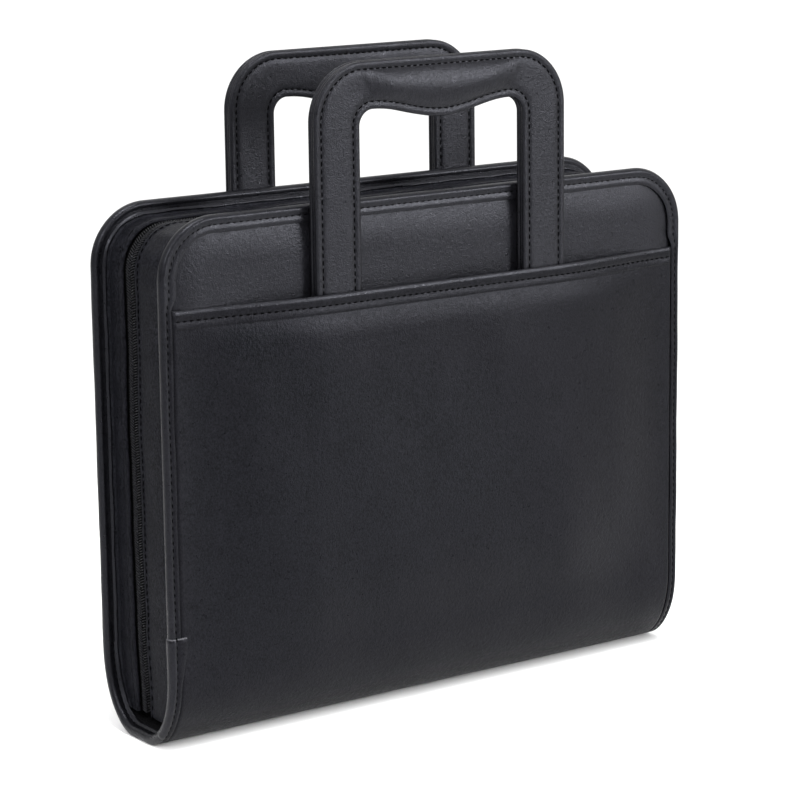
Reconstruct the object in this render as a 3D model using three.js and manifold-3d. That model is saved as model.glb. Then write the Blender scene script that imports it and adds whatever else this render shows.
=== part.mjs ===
// A zippered binder portfolio with two retractable handles. A leather wrap runs round a rounded
// spine and makes an outside pocket on each cover. One folded tape binds the rim of both covers and
// both ends of the spine. A zipped gusset closes the sides and the top, and a flat stiff handle
// slides in each pocket.
// Millimetres, +Z up, X along the spine, -Y to the front, the origin on the ground below the
// middle of the spine.

import * as THREE from 'three';
import { mergeVertices } from 'three/addons/utils/BufferGeometryUtils.js';
import Module from 'manifold-3d';

const wasm = await Module();
wasm.setup();

// Driving dimensions of the case
const coverWidth = 356;
const coverHeight = 292;
const coverDepth = 76; // over the outer faces of the two covers, at their rims
const coverCorner = 34;
const spineHeight = 45; // the walls start to curve into the spine here
const footHalf = 8; // half the flat strip of the spine that it stands on
const leather = 1.4;
const gap = 0.3;

// The folded tape of the bound rim
const rimThick = 6; // of a cover at its rim
const rimRound = 2.4; // depth of the rounded fold
const tapeWall = 1.25;
const tapeFold = 1.6; // the tape's thickness at the fold
const lipWide = 9; // width of the tape on a cover's outer face, above the pocket
const lipNarrow = 5.5; // the same beside the pocket and round the spine
const lipInside = 8.6; // width of the tape on a cover's inner face
const lipChange = 8; // height over which the lip changes its width, above the pocket's mouth

// The padded covers inside the wrap
const panelOut = 1.3; // outer face, from the middle plane of the rim
const panelIn = -2.7; // inner face, from the same plane
const tongueThick = 1.2; // the panel's edge inside the tape
const panelBottom = spineHeight + 3;

// The pockets
const mouthHeight = 243.5;
const bulgeFlat = 88; // the pocket stands full out to this far from the middle
const bulgeSide = 168; // and lies flat again here
const bulgeFull = 80; // it stands full above this height
const bulgeFoot = 22; // and lies flat below this one

// The handles
const handleWidth = 170;
const handleTop = 367;
const handleThick = 7.2;
const legWidth = 29.5;
const legEnd = 170; // height of the hidden lower ends of the legs
const gripEnds = 26; // depth of the grip beside the legs
const gripWave = 7; // how much deeper it is in the middle
const handleCorner = 32;
const windowCorner = 9;
const handleEdge = 1.2; // rounding of the edges
const padInset = 5; // the grip's padding starts this far inside its outline
const padRise = 2; // and stands this far out of the outward face
const padEdge = 3; // width of its rounded edge

// The gusset and its zip, as places across the case and depths below the rim
const gussetInset = 9;
const gussetEnd = 25; // height of the lower ends
const gussetFront = [-32, 5]; // Y from and to
const gussetBack = [16.5, 32];
const zipTape = [0.5, 21.5];
const zipTapeThick = 0.9;
const coil = [7.4, 14];
const coilThick = 2;

// The slider, out of sight at the right lower end of the zip
const sliderHeight = 44;
const sliderLength = 14;
const sliderWall = 1.5;
const sliderTop = 5.5; // its outer face, as a depth below the rim
const pullWidth = 7;
const pullThick = 1.4;
const pullLength = 34;
const pullTop = 3.2; // its outer face, as a depth below the rim
const lugInset = 4; // the pull's lug stops this far from both ends of the slider
const cutOver = 1; // a cutting solid reaches this far past what it cuts

// Facets
const cornerSteps = 6;
const spineSteps = 6;
const rimSteps = 6;
const bulgeSteps = 4;
const bulgeRows = 3;
const waveSteps = 12;

const halfWidth = coverWidth / 2;
const halfDepth = coverDepth / 2;
const rimHalf = rimThick / 2;
const slotHalf = rimHalf - tapeWall;
const seatDrop = tapeWall + gap; // the wrap's edge lies this far below the rim's face
const pocketBulge = gap + handleThick + gap + leather;

const leatherBlack = { color: 0x1c1c20, roughness: 0.5, metalness: 0 };
const tapeBlack = { color: 0x1e1e22, roughness: 0.45, metalness: 0 };
const zipBlack = { color: 0x141416, roughness: 0.7, metalness: 0 };
const metalBlack = { color: 0x232326, roughness: 0.35, metalness: 0.9 };

// 0 at the low value, 1 at the high one, and smooth between
function smooth(low, high, value) {
  return THREE.MathUtils.smoothstep(value, low, high);
}

// Solids from faces and from booleans

function solidFrom(points, faces) {
  const geometry = new THREE.BufferGeometry();
  geometry.setAttribute('position', new THREE.Float32BufferAttribute(points.flatMap((p) => [...p]), 3));
  geometry.setIndex(faces.flat());
  return geometry;
}

function toManifold(geometry) {
  const bare = geometry.clone();
  bare.deleteAttribute('normal');
  bare.deleteAttribute('uv');
  const merged = mergeVertices(bare, 1e-4);
  const vertProperties = new Float32Array(merged.attributes.position.array);
  const triVerts = new Uint32Array(merged.index.array);
  return new wasm.Manifold(new wasm.Mesh({ numProp: 3, vertProperties, triVerts }));
}

function fromManifold(manifold) {
  const { vertProperties, triVerts } = manifold.getMesh();
  const geometry = new THREE.BufferGeometry();
  geometry.setAttribute('position', new THREE.BufferAttribute(vertProperties, 3));
  geometry.setIndex(new THREE.BufferAttribute(triVerts, 1));
  return geometry;
}

function boxBetween(low, high) {
  const size = high.map((value, axis) => value - low[axis]);
  const middle = high.map((value, axis) => (value + low[axis]) / 2);
  return new THREE.BoxGeometry(...size).translate(...middle);
}

// A shape drawn in X and Z, made solid from one Y to another
function plate(shape, fromY, toY, options = {}) {
  const bevel = options.bevelThickness ?? 0;
  const depth = toY - fromY - 2 * bevel;
  const settings = { curveSegments: cornerSteps, bevelEnabled: bevel > 0, ...options, depth };
  return new THREE.ExtrudeGeometry(shape, settings)
    .rotateX(Math.PI / 2)
    .translate(0, toY - bevel, 0);
}

// The case's section: places on the outer face of the covers and the spine, from the front to the back

function wallPlace(height) {
  return { y: -halfDepth, z: height, normal: [-1, 0] };
}

function spinePlace(turn) {
  const across = halfDepth - footHalf;
  const y = -(footHalf + across * Math.cos(turn));
  const z = spineHeight * (1 - Math.sin(turn));
  const normal = new THREE.Vector2(-Math.cos(turn) / across, -Math.sin(turn) / spineHeight).normalize();
  return { y, z, normal: [normal.x, normal.y] };
}

function toBack(place) {
  return { y: -place.y, z: place.z, normal: [-place.normal[0], place.normal[1]] };
}

function spinePlaces() {
  const front = [];
  for (let step = 1; step <= spineSteps; step += 1) {
    front.push(spinePlace((step / spineSteps) * (Math.PI / 2)));
  }
  return [...front, ...front.map(toBack).reverse()];
}

// The bound rim

// The folded tape's section: distance in from the rim and height over the rim's middle plane
function tapeSection(lip) {
  const section = [[lip, rimHalf]];
  for (let step = 0; step <= rimSteps; step += 1) {
    const turn = Math.PI / 2 - (Math.PI * step) / rimSteps;
    section.push([rimRound * (1 - Math.cos(turn)), rimHalf * Math.sin(turn)]);
  }
  section.push([lipInside, -rimHalf], [lipInside, -slotHalf], [tapeFold, -slotHalf]);
  section.push([tapeFold, slotHalf], [lip, slotHalf]);
  return section;
}

// Stations of a cover's rim, up its left side, over the top and down its right side
function coverStations(side) {
  const left = [];
  const sideRows = [
    { height: spineHeight, lip: lipNarrow },
    { height: mouthHeight + gap, lip: lipNarrow },
    { height: mouthHeight + lipChange, lip: lipWide },
  ];
  for (const { height, lip } of sideRows) {
    left.push({ x: -halfWidth, z: height, out: [-1, 0], lip });
  }
  for (let step = 0; step <= cornerSteps; step += 1) {
    const turn = Math.PI - (Math.PI / 2) * (step / cornerSteps);
    const out = [Math.cos(turn), Math.sin(turn)];
    const x = coverCorner - halfWidth + coverCorner * out[0];
    const z = coverHeight - coverCorner + coverCorner * out[1];
    left.push({ x, z, out, lip: lipWide });
  }
  const right = left.map(({ x, z, out, lip }) => ({ x: -x, z, out: [-out[0], out[1]], lip })).reverse();
  return [...left, ...right].map(({ x, z, out, lip }) => ({
    at: new THREE.Vector3(x, side * halfDepth, z),
    out: new THREE.Vector3(out[0], 0, out[1]),
    face: new THREE.Vector3(0, side, 0),
    lip,
  }));
}

// Stations round one end of the spine, from the front to the back
function spineStations(end) {
  return spinePlaces().map(({ y, z, normal }) => ({
    at: new THREE.Vector3(end * halfWidth, y, z),
    out: new THREE.Vector3(end, 0, 0),
    face: new THREE.Vector3(0, ...normal),
    lip: lipNarrow,
  }));
}

function edgeBinding() {
  const stations = [
    ...coverStations(-1), ...spineStations(1),
    ...coverStations(1).reverse(), ...spineStations(-1).reverse(),
  ];
  const points = [];
  const faces = [];
  const ring = tapeSection(lipWide).length;
  stations.forEach(({ at, out, face, lip }, index) => {
    for (const [inward, up] of tapeSection(lip)) {
      points.push(at.clone().addScaledVector(face, up - rimHalf).addScaledVector(out, -inward));
    }
    const next = ((index + 1) % stations.length) * ring;
    for (let k = 0; k < ring; k += 1) {
      const a = index * ring + k;
      const b = index * ring + ((k + 1) % ring);
      const c = next + ((k + 1) % ring);
      const d = next + k;
      faces.push([a, d, c], [a, c, b]);
    }
  });
  return solidFrom(points, faces);
}

// The wrap with its two pockets

// Columns from side to side: place, share of the drop into the tape, share of the pocket's bulge
function wrapColumns() {
  const half = [
    { x: halfWidth - tapeFold - gap, drop: 1, bulge: 0 },
    { x: halfWidth - lipNarrow - 2 * gap, drop: 1, bulge: 0 },
    { x: halfWidth - lipNarrow - 2 * gap - leather, drop: 0, bulge: 0 },
  ];
  for (let step = 1; step <= bulgeSteps; step += 1) {
    const x = THREE.MathUtils.lerp(bulgeSide, bulgeFlat, step / bulgeSteps);
    half.push({ x, drop: 0, bulge: 1 - smooth(bulgeFlat, bulgeSide, x) });
  }
  return [...half.map((column) => ({ ...column, x: -column.x })), ...half.reverse()];
}

function wrapPlaces() {
  const front = [wallPlace(mouthHeight)];
  for (let row = 0; row <= bulgeRows; row += 1) {
    front.push(wallPlace(THREE.MathUtils.lerp(bulgeFull, spineHeight, row / bulgeRows)));
  }
  return [...front, ...spinePlaces(), ...front.map(toBack).reverse()];
}

function outerWrap() {
  const columns = wrapColumns();
  const places = wrapPlaces();
  const points = [];
  for (const layer of [0, -leather]) {
    for (const { x, drop, bulge } of columns) {
      for (const { y, z, normal } of places) {
        const rise = pocketBulge * bulge * smooth(bulgeFoot, bulgeFull, z) - seatDrop * drop + layer;
        points.push([x, y + normal[0] * rise, z + normal[1] * rise]);
      }
    }
  }
  const rows = places.length;
  const inner = columns.length * rows;
  const faces = [];
  const quad = (a, b, c, d) => faces.push([a, b, c], [a, c, d]);
  for (let i = 0; i + 1 < columns.length; i += 1) {
    for (let j = 0; j + 1 < rows; j += 1) {
      const a = i * rows + j;
      quad(a, a + 1, a + rows + 1, a + rows);
      quad(inner + a, inner + a + rows, inner + a + rows + 1, inner + a + 1);
    }
    const start = i * rows;
    const last = start + rows - 1;
    quad(start, start + rows, inner + start + rows, inner + start);
    quad(last, inner + last, inner + last + rows, last + rows);
  }
  const farColumn = (columns.length - 1) * rows;
  for (let j = 0; j + 1 < rows; j += 1) {
    const far = farColumn + j;
    quad(j, inner + j, inner + j + 1, j + 1);
    quad(far, far + 1, inner + far + 1, inner + far);
  }
  return solidFrom(points, faces);
}

// The padded covers

// A cover's outline at an inset from its rim, closed across its lower end
function coverShape(inset, bottom) {
  const x = halfWidth - inset;
  const radius = coverCorner - inset;
  const middle = coverHeight - coverCorner;
  const shape = new THREE.Shape();
  shape.moveTo(x, bottom);
  shape.lineTo(x, middle);
  shape.absarc(halfWidth - coverCorner, middle, radius, 0, Math.PI / 2, false);
  shape.absarc(coverCorner - halfWidth, middle, radius, Math.PI / 2, Math.PI, false);
  shape.lineTo(-x, bottom);
  shape.closePath();
  return shape;
}

// The front cover's padded panel, with a thin edge that goes into the tape
function frontPanel() {
  const middlePlane = -(halfDepth - rimHalf);
  const tongueOut = rimHalf - seatDrop - leather - gap;
  const body = plate(coverShape(lipWide + gap, panelBottom), middlePlane - panelOut, middlePlane - panelIn);
  const tongue = plate(
    coverShape(tapeFold + gap, panelBottom),
    middlePlane - tongueOut,
    middlePlane - tongueOut + tongueThick,
  );
  return fromManifold(toManifold(body).add(toManifold(tongue)));
}

// The gusset and the zip

// A band along the sides and the top of the case, below the rim
function band(inset, thick, [fromY, toY], end) {
  const x = halfWidth - inset;
  const radius = coverCorner - inset;
  const middle = coverHeight - coverCorner;
  const shape = new THREE.Shape();
  shape.moveTo(x, end);
  shape.lineTo(x, middle);
  shape.absarc(halfWidth - coverCorner, middle, radius, 0, Math.PI / 2, false);
  shape.absarc(coverCorner - halfWidth, middle, radius, Math.PI / 2, Math.PI, false);
  shape.lineTo(-x, end);
  shape.lineTo(thick - x, end);
  shape.lineTo(thick - x, middle);
  shape.absarc(coverCorner - halfWidth, middle, radius - thick, Math.PI, Math.PI / 2, true);
  shape.absarc(halfWidth - coverCorner, middle, radius - thick, Math.PI / 2, 0, true);
  shape.lineTo(x - thick, end);
  shape.closePath();
  return plate(shape, fromY, toY);
}

const tapeInset = gussetInset + leather + gap;
const coilInset = tapeInset - gap - coilThick;

// The slider straddles the coil and its pull hangs from a lug
function zipSlider() {
  const top = sliderHeight + sliderLength;
  const middleY = (coil[0] + coil[1]) / 2;
  const innerHalf = (coil[1] - coil[0]) / 2 + gap;
  const outerHalf = innerHalf + sliderWall;
  const body = boxBetween(
    [halfWidth - tapeInset + gap, middleY - outerHalf, sliderHeight],
    [halfWidth - sliderTop, middleY + outerHalf, top],
  );
  const channel = boxBetween(
    [halfWidth - tapeInset - cutOver, middleY - innerHalf, sliderHeight - cutOver],
    [halfWidth - coilInset + gap, middleY + innerHalf, top + cutOver],
  );
  const lugHalf = pullWidth / 4;
  const lug = boxBetween(
    [halfWidth - sliderTop - cutOver, middleY - lugHalf, sliderHeight + lugInset],
    [halfWidth - pullTop - pullThick / 2, middleY + lugHalf, top - lugInset],
  );
  const pull = boxBetween(
    [halfWidth - pullTop - pullThick, middleY - pullWidth / 2, top - lugInset - pullLength],
    [halfWidth - pullTop, middleY + pullWidth / 2, top - lugInset],
  );
  const slider = toManifold(body).subtract(toManifold(channel)).add(toManifold(lug)).add(toManifold(pull));
  return fromManifold(slider);
}

// The handles

const windowHalf = handleWidth / 2 - legWidth;

function gripEdge(x) {
  const share = Math.cos((Math.PI / 2) * (x / (windowHalf - windowCorner)));
  return handleTop - gripEnds - gripWave * share * share;
}

// The grip's lower edge, or a line at a height over it, from one end of the window to the other
function waveAlong(shape, fromX, toX, over) {
  for (let step = 0; step <= waveSteps; step += 1) {
    const x = THREE.MathUtils.lerp(fromX, toX, step / waveSteps);
    shape.lineTo(x, gripEdge(x) + over);
  }
}

function handleShape() {
  const half = handleWidth / 2;
  const windowTop = handleTop - gripEnds - windowCorner;
  const cornerX = windowHalf - windowCorner;
  const shape = new THREE.Shape();
  shape.moveTo(half, legEnd);
  shape.lineTo(half, handleTop - handleCorner);
  shape.absarc(half - handleCorner, handleTop - handleCorner, handleCorner, 0, Math.PI / 2, false);
  shape.absarc(handleCorner - half, handleTop - handleCorner, handleCorner, Math.PI / 2, Math.PI, false);
  shape.lineTo(-half, legEnd);
  shape.lineTo(-windowHalf, legEnd);
  shape.lineTo(-windowHalf, windowTop);
  shape.absarc(-cornerX, windowTop, windowCorner, Math.PI, Math.PI / 2, true);
  waveAlong(shape, -cornerX, cornerX, 0);
  shape.absarc(cornerX, windowTop, windowCorner, Math.PI / 2, 0, true);
  shape.lineTo(windowHalf, legEnd);
  shape.closePath();
  return shape;
}

// The padded stretch of the grip
function padShape() {
  const end = windowHalf - windowCorner;
  const shape = new THREE.Shape();
  shape.moveTo(end, handleTop - padInset);
  shape.lineTo(-end, handleTop - padInset);
  waveAlong(shape, -end, end, padInset);
  shape.closePath();
  return shape;
}

// The front handle, with the padding on its outward face
function frontHandle() {
  const back = -halfDepth - gap;
  const front = back - handleThick;
  const flat = plate(handleShape(), front, back, {
    bevelThickness: handleEdge, bevelSize: handleEdge, bevelOffset: -handleEdge, bevelSegments: 1,
  });
  const pad = plate(padShape(), front - padRise, back - 2 * handleEdge, {
    bevelThickness: padRise, bevelSize: padEdge, bevelSegments: 2,
  });
  return fromManifold(toManifold(flat).add(toManifold(pad)));
}

// The assembly

function piece(name, geometry, look, backToFront = false) {
  const mesh = new THREE.Mesh(geometry, new THREE.MeshStandardMaterial(look));
  mesh.name = name;
  if (backToFront) {
    mesh.rotation.z = Math.PI;
  }
  return mesh;
}

const portfolio = new THREE.Group();
portfolio.add(
  piece('outer_wrap', outerWrap(), leatherBlack),
  piece('edge_binding', edgeBinding(), tapeBlack),
  piece('front_panel', frontPanel(), leatherBlack),
  piece('back_panel', frontPanel(), leatherBlack, true),
  piece('gusset_front', band(gussetInset, leather, gussetFront, gussetEnd), leatherBlack),
  piece('gusset_back', band(gussetInset, leather, gussetBack, gussetEnd), leatherBlack),
  piece('zip_tape', band(tapeInset, zipTapeThick, zipTape, gussetEnd), zipBlack),
  piece('zip_coil', band(coilInset, coilThick, coil, gussetEnd), zipBlack),
  piece('zip_slider', zipSlider(), metalBlack),
  piece('front_handle', frontHandle(), leatherBlack),
  piece('back_handle', frontHandle(), leatherBlack, true),
);

export default portfolio;
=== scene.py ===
"""Looks of the zippered binder portfolio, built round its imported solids.

Shapes are worked out in millimetres in the part's own frame and turned into metres when a mesh is
made. X runs along the spine, -Y is the front and Z is up.
"""

import math

import bpy
import numpy as np
from mathutils import Matrix, Vector


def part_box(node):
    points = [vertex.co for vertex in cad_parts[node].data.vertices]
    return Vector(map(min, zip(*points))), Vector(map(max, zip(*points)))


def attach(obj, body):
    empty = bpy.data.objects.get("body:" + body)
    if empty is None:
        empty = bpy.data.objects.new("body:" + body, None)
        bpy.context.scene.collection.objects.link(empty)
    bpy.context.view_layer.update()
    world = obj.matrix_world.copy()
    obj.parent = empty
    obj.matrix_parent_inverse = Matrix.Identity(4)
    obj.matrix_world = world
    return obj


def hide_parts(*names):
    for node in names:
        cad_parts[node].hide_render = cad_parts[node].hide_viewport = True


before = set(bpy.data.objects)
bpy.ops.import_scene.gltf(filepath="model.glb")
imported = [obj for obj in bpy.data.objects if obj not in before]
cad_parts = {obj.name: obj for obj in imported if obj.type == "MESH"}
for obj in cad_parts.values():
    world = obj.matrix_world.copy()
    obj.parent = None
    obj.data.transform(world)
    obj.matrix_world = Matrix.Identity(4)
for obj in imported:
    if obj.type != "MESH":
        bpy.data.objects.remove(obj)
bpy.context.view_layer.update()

MM = 0.001

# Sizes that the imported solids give


def node_box(name):
    """Low and high corner of a solid."""
    low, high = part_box(name)
    return np.array(low) / MM, np.array(high) / MM


RIM_HIGH = node_box("edge_binding")[1]
WRAP_HIGH = node_box("outer_wrap")[1]
PANEL_LOW = node_box("front_panel")[0]
HANDLE_LOW, HANDLE_HIGH = node_box("front_handle")
GUSSET_FRONT_LOW, GUSSET_FRONT_HIGH = node_box("gusset_front")
GUSSET_BACK_LOW, GUSSET_BACK_HIGH = node_box("gusset_back")
TAPE_LOW, TAPE_HIGH = node_box("zip_tape")
COIL_LOW, COIL_HIGH = node_box("zip_coil")
SLIDER_LOW, SLIDER_HIGH = node_box("zip_slider")

HALF_WIDTH = RIM_HIGH[0]
HALF_DEPTH = RIM_HIGH[1]
COVER_TOP = RIM_HIGH[2]
MOUTH = WRAP_HIGH[2]
POCKET_BULGE = WRAP_HIGH[1] - HALF_DEPTH
GUSSET_INSET = HALF_WIDTH - GUSSET_FRONT_HIGH[0]
GUSSET_END = GUSSET_FRONT_LOW[2]

# Sizes of the case that its solids share

CORNER = 34.0
CORNER_X = HALF_WIDTH - CORNER
CORNER_Z = COVER_TOP - CORNER
SPINE_TOP = 45.0
FOOT_HALF = 8.0
RIM_HALF = 3.0
RIM_ROUND = 2.4
SLOT_HALF = 1.75
TAPE_FOLD = 1.6
LEATHER = 1.4

# Lips of the tape: width above the pockets, beside them and inside, and the height of the change
LIP_WIDE = 9.4
LIP_NARROW = 6.3
LIP_INSIDE = 8.2
LIP_CHANGE = 8.0
LIP_SIDE = HALF_WIDTH - LIP_NARROW

# Stitches: the size is length, width and height

PITCH = 4.1
STITCH_SIZE = (2.8, 1.0, 0.7)
STITCH_LIFT = 0.14
STITCH_LEAN = 0.05
RANDOM = np.random.default_rng(7)

# Shapes by formula


def smooth(low, high, value):
    """A soft step from 0 at low to 1 at high."""
    share = np.clip((np.asarray(value, float) - low) / (high - low), 0, 1)
    return share * share * (3 - 2 * share)


def quarter_round(distance, reach):
    """A rounded edge: 0 at the edge, upright there, and 1 from the reach on."""
    return np.sqrt(np.clip(1 - (1 - np.minimum(distance / reach, 1)) ** 2, 0, 1))


def dome(distance, reach):
    """A soft swell: 0 at its edge, slanting there, and 1 from the reach on."""
    return 1 - (1 - np.clip(distance / reach, 0, 1)) ** 2


def dip(distance, half):
    """A narrow groove: 1 on its line, fading on both sides."""
    return np.exp(-((distance / half) ** 2))


def ripple(values, waves):
    """A gentle irregular wave along a line: waves lists length, height and phase."""
    total = np.zeros_like(np.asarray(values, float))
    for length, height, phase in waves:
        total += height * np.sin(2 * math.pi * values / length + phase)
    return total


def dents(x, z, across, up):
    """Soft low dents on a face: across and up each give a size and a phase."""
    return np.sin(x / across[0] + across[1]) * np.sin(z / up[0] + up[1])


def holes(numbers, depth):
    """Depth of the stitch holes: every second station has one."""
    return np.where(numbers % 2 == 0, depth, 0.0)


def unit(vectors):
    return vectors / np.linalg.norm(vectors, axis=-1, keepdims=True)


def line_length(points, closed=False):
    line = np.vstack([points, points[:1]]) if closed else points
    return np.linalg.norm(np.diff(line, axis=0), axis=1).sum()


def resample(points, count, closed):
    """Rows of a table spread evenly along the line of its first three columns."""
    table = np.vstack([points, points[:1]]) if closed else points
    lengths = np.r_[0, np.cumsum(np.linalg.norm(np.diff(table[:, :3], axis=0), axis=1))]
    at = np.linspace(0, lengths[-1], count, endpoint=not closed)
    rows = np.stack([np.interp(at, lengths, table[:, k]) for k in range(table.shape[1])], 1)
    return rows, at


# Meshes


def grid_faces(rows, columns, close_rows=False, close_columns=False):
    """Quads of a grid whose points are numbered row by row."""
    numbers = np.arange(rows * columns).reshape(rows, columns)
    if close_rows:
        numbers = np.vstack([numbers, numbers[:1]])
    if close_columns:
        numbers = np.hstack([numbers, numbers[:, :1]])
    corners = numbers[:-1, :-1], numbers[:-1, 1:], numbers[1:, 1:], numbers[1:, :-1]
    return np.stack(corners, 2).reshape(-1, 4).tolist()


def tube_faces(stations, ring):
    """Quads of a tube of closed rings, and its two end caps."""
    last = (stations - 1) * ring
    faces = grid_faces(stations, ring, False, True)
    faces.append(tuple(range(ring)))
    faces.append(tuple(reversed(range(last, last + ring))))
    return faces


def shell_faces(rows, columns):
    """Quads of a closed shell: an outer grid, an inner grid after it, and the rim between them."""
    inner = rows * columns
    faces = grid_faces(rows, columns)
    faces += [tuple(inner + k for k in reversed(face)) for face in faces]
    edge = [
        *range(columns), *range(2 * columns - 1, inner, columns),
        *range(inner - 2, inner - columns - 1, -1), *range(inner - 2 * columns, 0, -columns),
    ]
    faces += [(b, a, inner + a, inner + b) for a, b in zip(edge, edge[1:] + edge[:1])]
    return faces


def make_piece(name, points, faces, material, replaces=(), body="case"):
    """A smooth mesh piece from points in millimetres, riding on a body."""
    mesh = bpy.data.meshes.new(name)
    mesh.from_pydata((np.asarray(points, float).reshape(-1, 3) * MM).tolist(), [], faces)
    mesh.update()
    mesh.shade_smooth()
    piece = bpy.data.objects.new(name, mesh)
    bpy.context.scene.collection.objects.link(piece)
    mesh.materials.append(material)
    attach(piece, body)
    if replaces:
        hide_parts(*replaces)
    return piece


def add_material(piece, material, numbers):
    """Gives the faces with these numbers a further material."""
    piece.data.materials.append(material)
    index = len(piece.data.materials) - 1
    for number in numbers:
        piece.data.polygons[number].material_index = index


def face_out(piece):
    """Turns the faces of a closed mesh outwards."""
    mesh = piece.data
    corners = np.array([v.co for v in mesh.vertices])
    mesh.calc_loop_triangles()
    triangles = np.array([t.vertices for t in mesh.loop_triangles])
    a, b, c = (corners[triangles[:, k]] for k in range(3))
    if (a * np.cross(b, c)).sum() < 0:
        mesh.flip_normals()
    return piece


def bead(sides, rings, blunt=0.6):
    """A closed rounded bead along X, of length, width and height 1."""
    points = [(-0.5, 0, 0)]
    for ring in range(1, rings):
        turn = math.pi * ring / rings
        width = 0.5 * math.sin(turn) ** blunt
        for side in range(sides):
            around = 2 * math.pi * side / sides
            points.append((-0.5 * math.cos(turn), width * math.cos(around), width * math.sin(around)))
    points.append((0.5, 0, 0))
    faces = [[1 + k for k in face] for face in grid_faces(rings - 1, sides, False, True)]
    last = 1 + (rings - 2) * sides
    for side in range(sides):
        after = (side + 1) % sides
        faces += [(0, 1 + after, 1 + side), (last + side, last + after, len(points) - 1)]
    return np.array(points), faces


def scatter(template, centres, along, across, up, size):
    """Points and faces of a template repeated at every centre in its own axes."""
    shape, faces = template
    axes = np.stack([along, across, up], 1)
    spread = centres[:, None] + (shape * size) @ axes
    count = len(shape)
    all_faces = [tuple(k * count + v for v in face) for k in range(len(centres)) for face in faces]
    return spread.reshape(-1, 3), all_faces


STITCH = bead(6, 5)


def sew(name, centres, along, up, body="case"):
    """A row of thread stitches lying in their holes."""
    along, up = np.broadcast_to(along, centres.shape), np.broadcast_to(up, centres.shape)
    lean = RANDOM.normal(0, STITCH_LEAN, (len(centres), 1))
    along = unit(along + lean * np.cross(up, along))
    across = unit(np.cross(up, along))
    points, faces = scatter(STITCH, centres + STITCH_LIFT * up, along, across, up, STITCH_SIZE)
    # The stitches' near-black carries painted shade of their holes
    make_piece(name, points, faces, THREAD_AND_HOLE_SHADE, body=body)


# Materials: scales are per metre, bumps are a strength and a depth in metres

NOISE_LOW, NOISE_HIGH = 0.3, 0.7
DEEP_BLACK = (0.0004, 0.0004, 0.0006)
SOFT_BLACK = (0.007, 0.007, 0.0088)
# Painted light: the panels and handles get a lighter black than the cover, a lit copy of the same
# leather
PANEL_LIT_BLACK = (0.0088, 0.0088, 0.0108)
GUSSET_BLACK = (0.0145, 0.0148, 0.0185)
WORN_METAL = (0.09, 0.09, 0.095)
COOL_SHEEN = (0.86, 0.875, 1.0, 1)

CLOUD_SCALE = 70.0
CLOUD_SHARE = 0.15
SPECK_SCALE = 850.0
GLOSS_SCALE = 400.0
GLOSS_SPREAD = 0.08
PEBBLE_SCALE = 1700.0
PEBBLE_SOFT = 0.6
PEBBLE_RISE = 0.3
PEBBLE_DEPTH = 0.0004
WRINKLE_SCALE = 480.0
WRINKLE_RISE = 0.13
WRINKLE_DEPTH = 0.0006

FIBRE_SHADES = (0.6, 1.5)
FIBRE_DEPTH = 0.0003
WEAVE_SHADES = (0.5, 1.3)
WEAVE_SCALE = 420.0
WEAVE_UNEVEN = 0.6
WEAVE_BUMP = (0.5, 0.0003)
NYLON_SCALE = 300.0
NYLON_ROUGH = (0.2, 0.34)
SCUFF_SCALE = 900.0
SCUFF_BUMP = (0.15, 0.0002)
WEAR = (0.52, 0.6)
ENAMEL_SCALE = 220.0
ENAMEL_ROUGH = (0.25, 0.42)


def feed(tree, node, inputs):
    """Sets inputs of a node, each to a constant or to the output of another node."""
    for name, value in inputs.items():
        if isinstance(value, bpy.types.NodeSocket):
            tree.links.new(value, node.inputs[name])
        else:
            node.inputs[name].default_value = value


def add_node(tree, kind, inputs):
    node = tree.nodes.new(kind)
    feed(tree, node, inputs)
    return node


def new_material(name):
    """A material with its nodes, its shader and the coordinates of the object."""
    material = bpy.data.materials.new(name)
    material.use_nodes = True
    tree = material.node_tree
    place = tree.nodes.new("ShaderNodeTexCoord").outputs["Object"]
    return material, tree, tree.nodes["Principled BSDF"], place


def mapped_noise(tree, place, scale, detail, low, high):
    """A noise pattern in object space, brought between two values."""
    noise = add_node(tree, "ShaderNodeTexNoise", {"Vector": place, "Scale": scale, "Detail": detail})
    spread = add_node(tree, "ShaderNodeMapRange", {
        "Value": noise.outputs["Fac"], "From Min": NOISE_LOW, "From Max": NOISE_HIGH,
        "To Min": low, "To Max": high,
    })
    return spread.outputs["Result"]


def add_bump(tree, height, strength, depth, under=None):
    inputs = {"Height": height, "Strength": strength, "Distance": depth}
    if under:
        inputs["Normal"] = under
    return add_node(tree, "ShaderNodeBump", inputs).outputs["Normal"]


def combine(tree, operation, first, second):
    """The sum or the product of two values."""
    node = add_node(tree, "ShaderNodeMath", {0: first, 1: second})
    node.operation = operation
    return node.outputs[0]


def colour_ramp(tree, share, dark, light, low=0.0, high=1.0):
    """A colour that goes from dark to light while a share goes from low to high."""
    node = add_node(tree, "ShaderNodeValToRGB", {"Fac": share})
    for stop, position, colour in zip(node.color_ramp.elements, (low, high), (dark, light)):
        stop.position = position
        stop.color = (*colour, 1)
    return node.outputs["Color"]


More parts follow.
